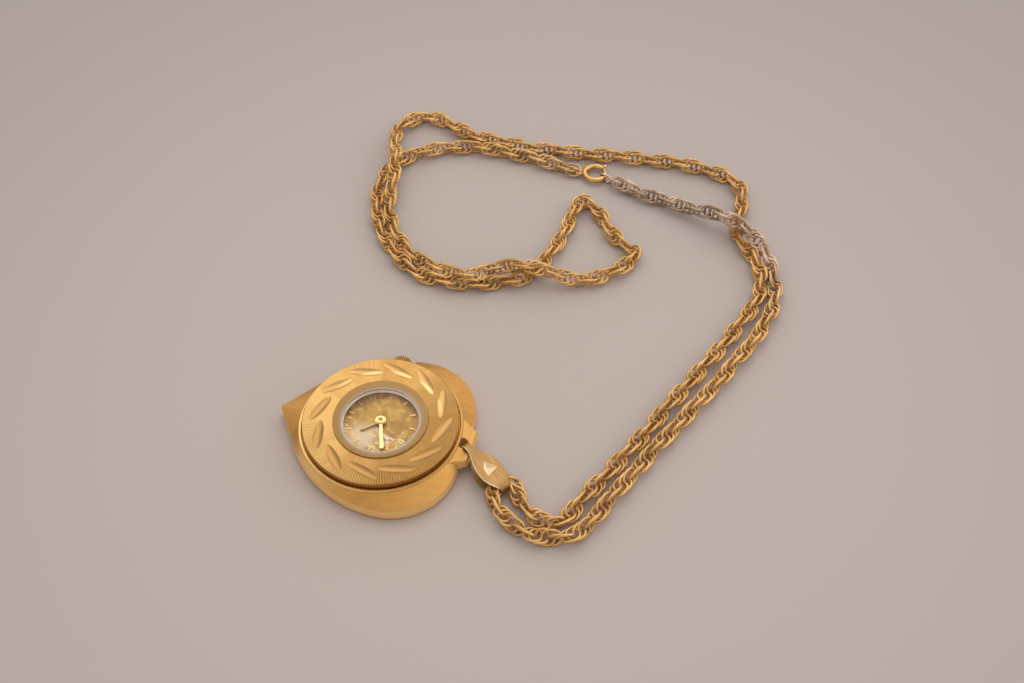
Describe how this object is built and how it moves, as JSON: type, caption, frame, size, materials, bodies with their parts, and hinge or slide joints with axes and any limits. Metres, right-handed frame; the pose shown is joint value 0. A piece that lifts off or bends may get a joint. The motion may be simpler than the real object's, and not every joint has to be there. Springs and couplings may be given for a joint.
{
  "type": "pendant watch",
  "caption": "Heart-shaped mechanical pendant watch with a round domed dial, an engraved ring, a folded bail and a long rope chain with a spring-ring clasp.",
  "frame": {"origin": "on the dial's axis, in the flat plane of the case back, which lies on the surface", "axes": "+Z out of the dial, +X towards the lug and bail, +Y towards the crown"},
  "size_m": [0.0923, 0.1055, 0.0066],
  "materials": {
    "gold_case": "brushed",
    "gold_polished": "polished",
    "gold_engraved": "engraved",
    "gold_rose": "satin",
    "crystal": "polished",
    "dial_gilt": "satin",
    "silver_ring": "polished",
    "movement_plate": "satin",
    "movement_steel": "brushed",
    "holder": "matte",
    "jewel": "polished",
    "chain_gold": "worn",
    "chain_pale": "worn"
  },
  "bodies": {
    "case": {"heart_case": "gold_case", "case_back": "gold_case", "collar_ring": "gold_polished", "engraved_plate": "gold_engraved", "crystal": "crystal", "bright_ring": "silver_ring", "dial": "dial_gilt", "dial_markers": "gold_polished", "lug": "gold_case", "main_plate": "movement_plate", "movement_holder": "holder", "barrel_bridge": "movement_plate", "train_bridge": "movement_plate", "balance_cock": "movement_plate", "pallet_bridge": "movement_plate", "movement_screws": "movement_steel", "jewels": "jewel", "clasp_ring": "gold_polished", "clasp_spring": "movement_steel", "jump_ring": "gold_polished", "jump_link": "chain_pale", "chain_long": "chain_gold", "chain_short": "chain_pale"},
    "bail": {"bail": "gold_rose", "chain_span": "chain_gold"},
    "winding": {"winding_pinion": "movement_steel"},
    "crown": {"winding_stem": "movement_steel", "crown": "gold_case"},
    "clutch": {"clutch": "movement_steel"},
    "setting_lever": {"setting_lever": "movement_steel"},
    "crown_wheel": {"crown_wheel": "movement_steel"},
    "ratchet": {"ratchet_wheel": "movement_steel", "barrel_arbor": "movement_steel"},
    "click": {"click": "movement_steel"},
    "barrel": {"barrel": "movement_plate", "mainspring": "movement_steel"},
    "centre_wheel": {"centre_wheel": "movement_plate"},
    "third_wheel": {"third_wheel": "movement_plate"},
    "fourth_wheel": {"fourth_wheel": "movement_plate"},
    "escape_wheel": {"escape_wheel": "movement_steel"},
    "pallet_fork": {"pallet_fork": "movement_steel"},
    "balance": {"balance_wheel": "movement_plate", "hairspring": "movement_steel"},
    "minute_hand": {"cannon_pinion": "movement_steel", "minute_hand": "gold_polished"},
    "minute_wheel": {"minute_wheel": "movement_plate"},
    "hour_hand": {"hour_wheel": "movement_plate", "hour_hand": "gold_polished"},
    "clasp_trigger": {"clasp_trigger": "gold_polished"}
  },
  "joints": [
    {"name": "bail_swing", "type": "hinge", "parent": "case", "child": "bail", "pos_m": [0.01661, -0.00092, 0.0025], "axis": [-0.5446, -0.8387, 0], "range_deg": [0, 90], "deforming": ["chain_span"]},
    {"name": "crown_turn", "type": "hinge", "parent": "case", "child": "winding", "pos_m": [0, 0, 0.0022], "axis": [-0.0872, 0.9962, 0], "continuous": true},
    {"name": "crown_pull", "type": "slide", "parent": "winding", "child": "crown", "axis": [-0.0872, 0.9962, 0], "range_m": [0, 0.0005]},
    {"name": "clutch_slide", "type": "slide", "parent": "winding", "child": "clutch", "axis": [-0.0872, 0.9962, 0], "range_m": [-0.0006, 0]},
    {"name": "setting_lever_swing", "type": "hinge", "parent": "case", "child": "setting_lever", "pos_m": [0.00155, 0.00636, 0.0036], "axis": [0, 0, 1], "range_deg": [-14, 0]},
    {"name": "crown_wheel_turn", "type": "hinge", "parent": "case", "child": "crown_wheel", "pos_m": [-0.00034, 0.00388, 0.00085], "axis": [0, 0, 1], "continuous": true},
    {"name": "ratchet_turn", "type": "hinge", "parent": "case", "child": "ratchet", "pos_m": [-0.00343, 0.0016, 0.00085], "axis": [0, 0, 1], "continuous": true},
    {"name": "click_lift", "type": "hinge", "parent": "case", "child": "click", "pos_m": [-0.003, -0.00194, 0.00085], "axis": [0, 0, 1], "range_deg": [0, 10], "stiffness_Nm_per_rad": 0.0000001},
    {"name": "barrel_turn", "type": "hinge", "parent": "case", "child": "barrel", "pos_m": [-0.00343, 0.0016, 0.0021], "axis": [0, 0, 1], "continuous": true},
    {"name": "centre_turn", "type": "hinge", "parent": "case", "child": "centre_wheel", "pos_m": [0, 0, 0.0026], "axis": [0, 0, 1], "continuous": true},
    {"name": "third_turn", "type": "hinge", "parent": "case", "child": "third_wheel", "pos_m": [0.0007, -0.00261, 0.002], "axis": [0, 0, 1], "continuous": true},
    {"name": "fourth_turn", "type": "hinge", "parent": "case", "child": "fourth_wheel", "pos_m": [0.00286, -0.00361, 0.0024], "axis": [0, 0, 1], "continuous": true},
    {"name": "escape_turn", "type": "hinge", "parent": "case", "child": "escape_wheel", "pos_m": [0.00448, -0.00225, 0.00205], "axis": [0, 0, 1], "continuous": true},
    {"name": "pallet_swing", "type": "hinge", "parent": "case", "child": "pallet_fork", "pos_m": [0.00474, -0.00077, 0.00205], "axis": [0, 0, 1], "range_deg": [-6, 6]},
    {"name": "balance_swing", "type": "hinge", "parent": "case", "child": "balance", "pos_m": [0.00509, 0.00124, 0.0015], "axis": [0, 0, 1], "range_deg": [-135, 135], "stiffness_Nm_per_rad": 0.00000003, "deforming": ["hairspring"]},
    {"name": "minute_hand_turn", "type": "hinge", "parent": "case", "child": "minute_hand", "pos_m": [0, 0, 0.0048], "axis": [0, 0, 1], "continuous": true},
    {"name": "minute_wheel_turn", "type": "hinge", "parent": "case", "child": "minute_wheel", "pos_m": [0.00196, 0.00091, 0.0037], "axis": [0, 0, 1], "continuous": true},
    {"name": "hour_hand_turn", "type": "hinge", "parent": "case", "child": "hour_hand", "pos_m": [0, 0, 0.0046], "axis": [0, 0, 1], "continuous": true},
    {"name": "clasp_slide", "type": "hinge", "parent": "case", "child": "clasp_trigger", "pos_m": [0.0213, 0.0783, 0.00096], "axis": [0, 0, 1], "range_deg": [0, 35], "stiffness_Nm_per_rad": 0.000002, "deforming": ["clasp_spring"]}
  ],
  "couplings": [
    {"joint": "clutch_slide", "follows": "crown_pull", "ratio": -1},
    {"joint": "setting_lever_swing", "follows": "crown_pull", "rad_per_m": -476.19},
    {"joint": "crown_wheel_turn", "follows": "crown_turn", "ratio": -0.66667},
    {"joint": "ratchet_turn", "follows": "crown_turn", "ratio": 0.44444},
    {"joint": "barrel_turn", "follows": "fourth_turn", "ratio": -0.0025641},
    {"joint": "centre_turn", "follows": "fourth_turn", "ratio": 0.016667},
    {"joint": "third_turn", "follows": "fourth_turn", "ratio": -0.13333},
    {"joint": "escape_turn", "follows": "fourth_turn", "ratio": -10},
    {"joint": "minute_wheel_turn", "follows": "minute_hand_turn", "ratio": -0.33333},
    {"joint": "hour_hand_turn", "follows": "minute_hand_turn", "ratio": 0.083333}
  ]
}
